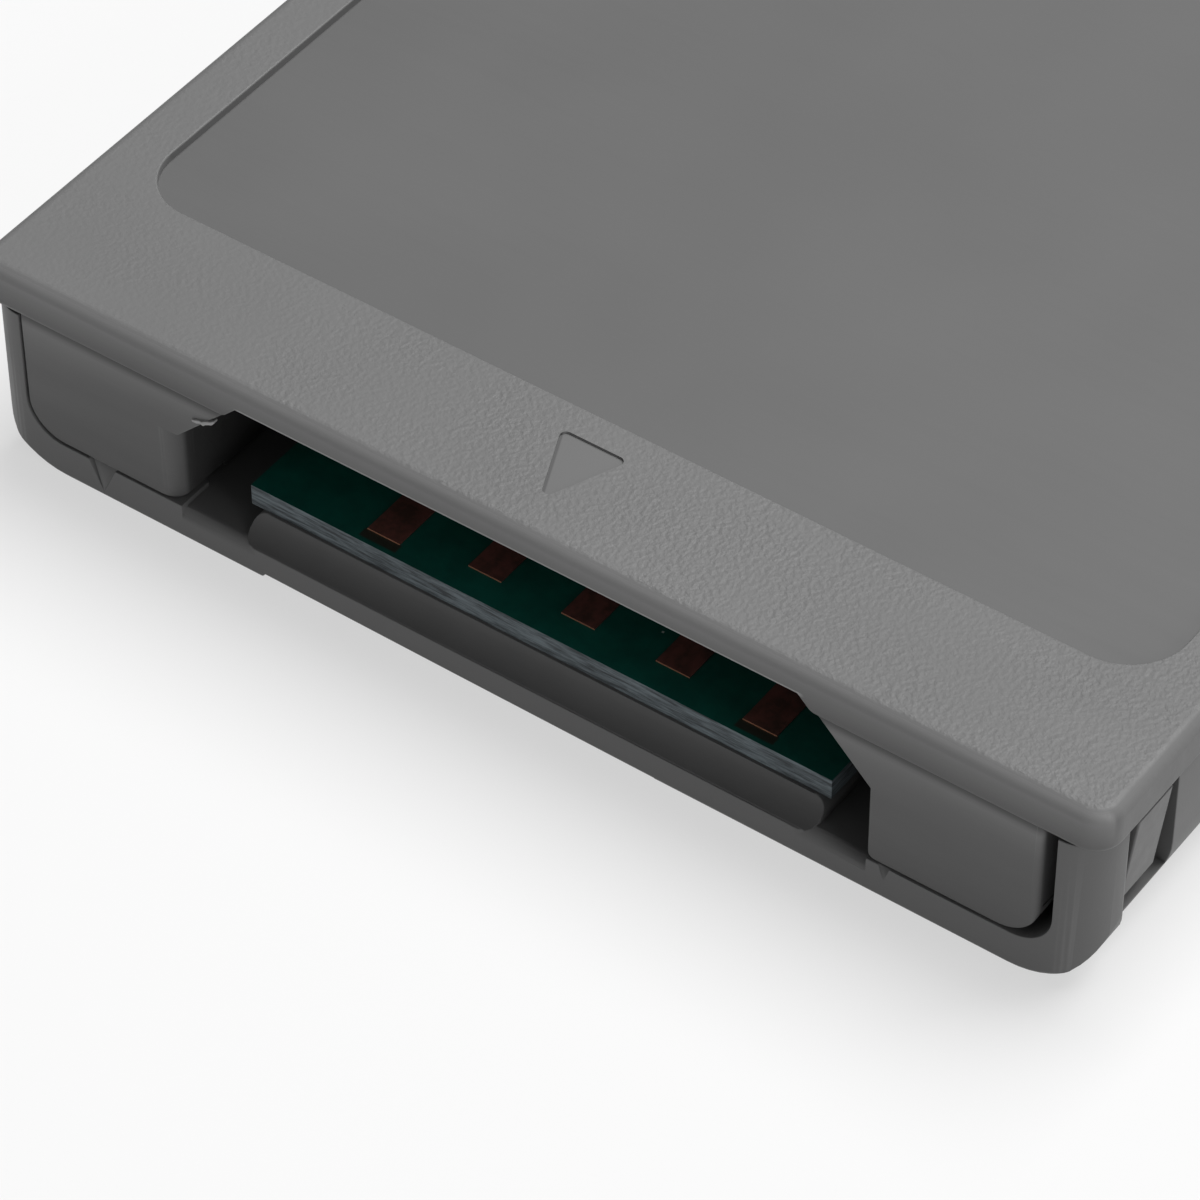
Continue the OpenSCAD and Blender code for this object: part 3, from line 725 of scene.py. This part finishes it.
# paler colour of the flash: partly stress-whitened thin plastic, partly painted light where the rim shades it
FLASH_ABS = PlainAbs("whitened_and_painted_light_grey_abs", "949494", roughness=0.5, ior=1.54, ripple_mm=0.3)
BOARD_LAMINATE = MaskedLaminate("green_masked_glass_laminate", "0a5a4e", roughness=0.3, ior=1.55)
PAD_COPPER = OxidisedCopper("browned_copper_contacts", "744840", roughness=0.42, tarnish="503830")
SPRING_BRONZE = WornPlate("gold_flashed_bronze_strip", "c9a15a", roughness=0.3, metallic=1.0, tarnish="8f7036")
COVER_STEEL = WornPlate("stamped_stainless_sheet", "b4b4b0", roughness=0.33, metallic=1.0, tarnish="8e8e8c",
                        patch_mm=2.0)
SOCKET_RESIN = PlainAbs("black_glass_filled_resin", "1c1d1f", roughness=0.45, ior=1.57)
CAPACITOR_CERAMIC = WornPlate("tinned_brown_chip_ceramic", "8a6a48", roughness=0.45, tarnish="6f5236")
RESISTOR_GLAZE = WornPlate("tinned_black_chip_glaze", "141414", roughness=0.3, tarnish="202020")
BACKGROUND_PAPER = PaperSweep("pale_paper", "828282", roughness=0.9)


def dress(node: str, finish: bpy.types.Material) -> None:
    """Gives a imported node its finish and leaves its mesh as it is.

    Args:
        node: Name of the node.
        finish: The material that it gets.
    """
    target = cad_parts[node]
    target.data.materials.clear()
    target.data.materials.append(finish)
    log.info("dressed %s with %s", node, finish.name)


def finish_piece(mesh: bpy.types.Mesh, name: str, finish: bpy.types.Material,
                 stands_for: tuple[str, ...] = ()) -> bpy.types.Object:
    """Puts a mesh into the scene as a piece that rides on the adapter.

    Args:
        mesh: The finished mesh, in the row frame.
        name: Name of the piece.
        finish: Its material.
        stands_for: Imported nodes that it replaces.

    Returns:
        The new object.
    """
    mesh.materials.clear()
    mesh.materials.append(finish)
    piece = bpy.data.objects.new(name, mesh)
    bpy.context.scene.collection.objects.link(piece)
    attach(piece, "root")
    if stands_for:
        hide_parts(*stands_for)
    log.info("built %s, %d faces", name, len(mesh.polygons))
    return piece


def merged_copy(node: str) -> bmesh.types.BMesh:
    """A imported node's mesh with its loose triangles joined and its flat faces made whole.

    Args:
        node: Name of the node.

    Returns:
        A new bmesh, which the caller frees.
    """
    bm = bmesh.new()
    bm.from_mesh(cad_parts[node].data)
    bmesh.ops.remove_doubles(bm, verts=bm.verts[:], dist=0.0005 * MM)
    bmesh.ops.dissolve_limit(bm, angle_limit=math.radians(0.4), verts=bm.verts[:], edges=bm.edges[:])
    return bm


@dataclass
class MouldedShell:
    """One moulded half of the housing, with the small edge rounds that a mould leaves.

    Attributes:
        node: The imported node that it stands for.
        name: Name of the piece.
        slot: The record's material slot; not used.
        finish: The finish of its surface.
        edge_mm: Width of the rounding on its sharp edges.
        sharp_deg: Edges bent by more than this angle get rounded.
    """

    node: str
    name: str
    slot: str
    finish: Finish
    edge_mm: float = 0.06
    sharp_deg: float = 28.0

    def wants_round(self, edge: bmesh.types.BMEdge) -> bool:
        """Tells whether an edge is sharp and convex and both faces beside it have room for the rounding.

        Args:
            edge: An edge of the merged copy.

        Returns:
            True where the edge gets rounded.
        """
        if len(edge.link_faces) != 2 or not edge.is_convex:
            return False
        if edge.calc_face_angle(0) < math.radians(self.sharp_deg):
            return False
        room = min(face.calc_area() for face in edge.link_faces) / edge.calc_length()
        return room > 2.5 * self.edge_mm * MM

    def build(self) -> bpy.types.Object:
        """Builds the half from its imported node.

        Returns:
            The finished piece.
        """
        bm = merged_copy(self.node)
        sharp = [edge for edge in bm.edges if self.wants_round(edge)]
        bmesh.ops.bevel(bm, geom=sharp, offset=self.edge_mm * MM, offset_type="OFFSET", segments=3,
                        profile=0.5, affect="EDGES", clamp_overlap=False, material=-1)
        mesh = bpy.data.meshes.new(self.name)
        bm.to_mesh(mesh)
        bm.free()
        mesh.shade_smooth()
        mesh.set_sharp_from_angle(angle=math.radians(32))
        piece = finish_piece(mesh, self.name, self.finish.material(), (self.node,))
        even = piece.modifiers.new("even_normals", "WEIGHTED_NORMAL")
        even.keep_sharp = True
        return piece


@dataclass
class MouldFlash:
    """The ragged sliver of flash that the mould left at the left upper corner of the slot.

    Attributes:
        start_mm: Its left end on the tab's front.
        end_mm: Its right end on the slot's sloping edge.
        thick_mm: Its thickness.
        deep_mm: Its depth, most of which is buried in the lid.
        steps: Number of pieces that its ragged edge is drawn with.
    """

    start_mm: tuple[float, float, float] = (-12.4, -25.83, 5.52)
    end_mm: tuple[float, float, float] = (-11.5, -25.83, 5.89)
    thick_mm: float = 0.13
    deep_mm: float = 0.22
    steps: int = 10

    def build(self) -> bpy.types.Object:
        """Builds the sliver from a divided bar whose edge is pulled about.

        Returns:
            The finished piece.
        """
        start, end = Vector(self.start_mm), Vector(self.end_mm)
        length = (end - start).length
        bm = bmesh.new()
        bmesh.ops.create_cube(bm, size=1)
        bmesh.ops.scale(bm, vec=(length, self.deep_mm, self.thick_mm), verts=bm.verts[:])
        lengthwise = [edge for edge in bm.edges
                      if abs(edge.verts[0].co.x - edge.verts[1].co.x) > length / 2]
        bmesh.ops.subdivide_edges(bm, edges=lengthwise, cuts=self.steps)
        for vert in bm.verts:
            part = vert.co.x / length + 0.5
            taper = 0.25 + 0.75 * math.sin(math.pi * (0.08 + 0.84 * part)) ** 0.7
            ragged = 0.5 + 0.3 * math.sin(17 * part) + 0.2 * math.sin(41 * part + 1.3)
            vert.co.z = vert.co.z * taper - (0.05 * ragged if vert.co.z < 0 else 0.02 * ragged)
            vert.co.z -= 0.07 * math.sin(math.pi * part)
            if vert.co.y < 0:
                vert.co.y *= 0.8 + 0.4 * ragged * taper
        slope = Matrix.Rotation(-math.atan2(end.z - start.z, end.x - start.x), 4, "Y")
        bmesh.ops.transform(bm, matrix=Matrix.Translation((start + end) / 2) @ slope, verts=bm.verts[:])
        bmesh.ops.scale(bm, vec=(MM, MM, MM), verts=bm.verts[:])
        bmesh.ops.bevel(bm, geom=bm.edges[:], offset=0.02 * MM, offset_type="OFFSET", segments=2,
                        profile=0.5, affect="EDGES", clamp_overlap=True, material=-1)
        mesh = bpy.data.meshes.new("mould_flash")
        bm.to_mesh(mesh)
        bm.free()
        mesh.shade_smooth()
        return finish_piece(mesh, "mould_flash", FLASH_ABS.material())


@dataclass
class Housing:
    """The two halves of the housing."""

    lid: MouldedShell = field(default_factory=lambda: MouldedShell(
        "top_shell", "grained_lid", "top_housing", LID_ABS))
    tray: MouldedShell = field(default_factory=lambda: MouldedShell(
        "bottom_shell", "plain_tray", "bottom_housing", TRAY_ABS, edge_mm=0.03))
    flash: MouldFlash = field(default_factory=MouldFlash)

    def build(self) -> None:
        """Builds both halves and the sliver of flash."""
        self.lid.build()
        self.tray.build()
        self.flash.build()


@dataclass
class BoardAssembly:
    """The circuit board with its edge contacts and chips."""

    contacts: int = 5

    def build(self) -> None:
        """Dresses the board and what is on it."""
        dress("circuit_board", BOARD_LAMINATE.material())
        copper = PAD_COPPER.material()
        for number in range(1, self.contacts + 1):
            dress(f"edge_contact_{number}", copper)
        dress("filter_capacitor", CAPACITOR_CERAMIC.material())
        glaze = RESISTOR_GLAZE.material()
        for node in ("detect_resistor", "protect_resistor"):
            dress(node, glaze)


@dataclass
class CardSocket:
    """The flash card socket with its springs and its cover."""

    springs: int = 9

    def build(self) -> None:
        """Dresses the socket's pieces."""
        dress("card_socket_body", SOCKET_RESIN.material())
        dress("card_socket_cover", COVER_STEEL.material())
        bronze = SPRING_BRONZE.material()
        for number in range(1, self.springs + 1):
            dress(f"socket_spring_{number}", bronze)
        for node in ("card_detect_spring", "write_protect_spring"):
            dress(node, bronze)


@dataclass(frozen=True)
class Softbox:
    """A square softbox that faces the adapter.

    Attributes:
        name: Name of the light.
        size_mm: Length of its side.
        place_mm: Where it hangs.
        watts: Its power.
    """

    name: str
    size_mm: float
    place_mm: tuple[float, float, float]
    watts: float

    def build(self) -> None:
        """Hangs the softbox and aims it at the adapter's front half."""
        lamp = bpy.data.lights.new(self.name, "AREA")
        lamp.shape = "SQUARE"
        lamp.size = self.size_mm * MM
        lamp.energy = self.watts
        light = bpy.data.objects.new(self.name, lamp)
        place = Vector(self.place_mm) * MM
        aim = (Vector((0, -10, 0)) * MM - place).to_track_quat("-Z", "Y")
        light.matrix_world = Matrix.Translation(place) @ aim.to_matrix().to_4x4()
        bpy.context.scene.collection.objects.link(light)


@dataclass
class Studio:
    """The floor, the soft light and the camera at the photograph's angle.

    Attributes:
        azimuth_deg: How far the camera stands round to the right of the front.
        elevation_deg: How high it looks down from.
        roll_deg: Its roll.
        look_at_mm: The point that it looks at.
        distance_mm: Its distance from that point.
        lens_mm: Its focal length on a sensor 36 mm wide.
        sensor_mm: Width of that sensor.
        floor_half_m: Half the width of the floor.
        floor_drop_mm: How far the floor lies below the adapter, so that their faces don't meet.
        softboxes: The softboxes.
        room: Brightness of the white room around it all.
    """

    azimuth_deg: float = 35.772
    elevation_deg: float = 44.890
    roll_deg: float = -0.222
    look_at_mm: tuple[float, float, float] = (1.674, -23.771, 4.0)
    distance_mm: float = 170.725
    lens_mm: float = 168.19
    sensor_mm: float = 36
    floor_half_m: float = 1.5
    floor_drop_mm: float = 0.01
    softboxes: tuple[Softbox, ...] = (
        Softbox("top_softbox", 500, (80, 250, 600), 7.8),
        Softbox("right_softbox", 300, (490, -70, 220), 0.72))
    room: float = 0.18

    def axes(self) -> tuple[Vector, Vector, Vector]:
        """The camera's right, up and back directions.

        Returns:
            Three unit vectors in the row frame.
        """
        azimuth, elevation, roll = (math.radians(a) for a in (
            self.azimuth_deg, self.elevation_deg, self.roll_deg))
        back = Vector((math.sin(azimuth) * math.cos(elevation), -math.cos(azimuth) * math.cos(elevation),
                       math.sin(elevation)))
        right = Vector((math.cos(azimuth), math.sin(azimuth), 0))
        up = back.cross(right)
        return (right * math.cos(roll) + up * math.sin(roll),
                up * math.cos(roll) - right * math.sin(roll), back)

    def add_camera(self) -> None:
        """Adds the camera and makes it the scene's own."""
        right, up, back = self.axes()
        lens = bpy.data.cameras.new("photo_camera")
        lens.sensor_fit = "HORIZONTAL"
        lens.sensor_width = self.sensor_mm
        lens.lens = self.lens_mm
        lens.clip_start = 0.005
        lens.clip_end = 20
        camera = bpy.data.objects.new("photo_camera", lens)
        turn = Matrix((right, up, back)).transposed().to_4x4()
        place = (Vector(self.look_at_mm) + back * self.distance_mm) * MM
        camera.matrix_world = Matrix.Translation(place) @ turn
        bpy.context.scene.collection.objects.link(camera)
        bpy.context.scene.camera = camera

    def add_floor(self) -> None:
        """Adds the plain pale floor."""
        bm = bmesh.new()
        bmesh.ops.create_grid(bm, x_segments=1, y_segments=1, size=self.floor_half_m)
        bmesh.ops.translate(bm, verts=bm.verts[:], vec=(0, 0, -self.floor_drop_mm * MM))
        mesh = bpy.data.meshes.new("pale_floor")
        bm.to_mesh(mesh)
        bm.free()
        floor = bpy.data.objects.new("pale_floor", mesh)
        bpy.context.scene.collection.objects.link(floor)
        mesh.materials.append(BACKGROUND_PAPER.material())

    def add_room(self) -> None:
        """Adds the even light of a white room."""
        room = bpy.data.worlds.new("white_room")
        room.use_nodes = True
        room.node_tree.nodes.clear()
        sky = add(room.node_tree, "ShaderNodeBackground", inputs={
            "Color": linear("ffffff"), "Strength": self.room})
        add(room.node_tree, "ShaderNodeOutputWorld", inputs={"Surface": sky.outputs["Background"]})
        bpy.context.scene.world = room

    def build(self) -> None:
        """Builds the whole studio."""
        self.add_camera()
        self.add_floor()
        for softbox in self.softboxes:
            softbox.build()
        self.add_room()
        bpy.context.scene.view_settings.view_transform = "Standard"


def main() -> None:
    """Builds the studio and the adapter, sub-assembly by sub-assembly."""
    logging.basicConfig(level=logging.INFO, format="%(name)s: %(message)s")
    for part in (Studio(), Housing(), BoardAssembly(), CardSocket()):
        part.build()
        log.info("%s is done", type(part).__name__)


if __name__ == "__main__":
    main()
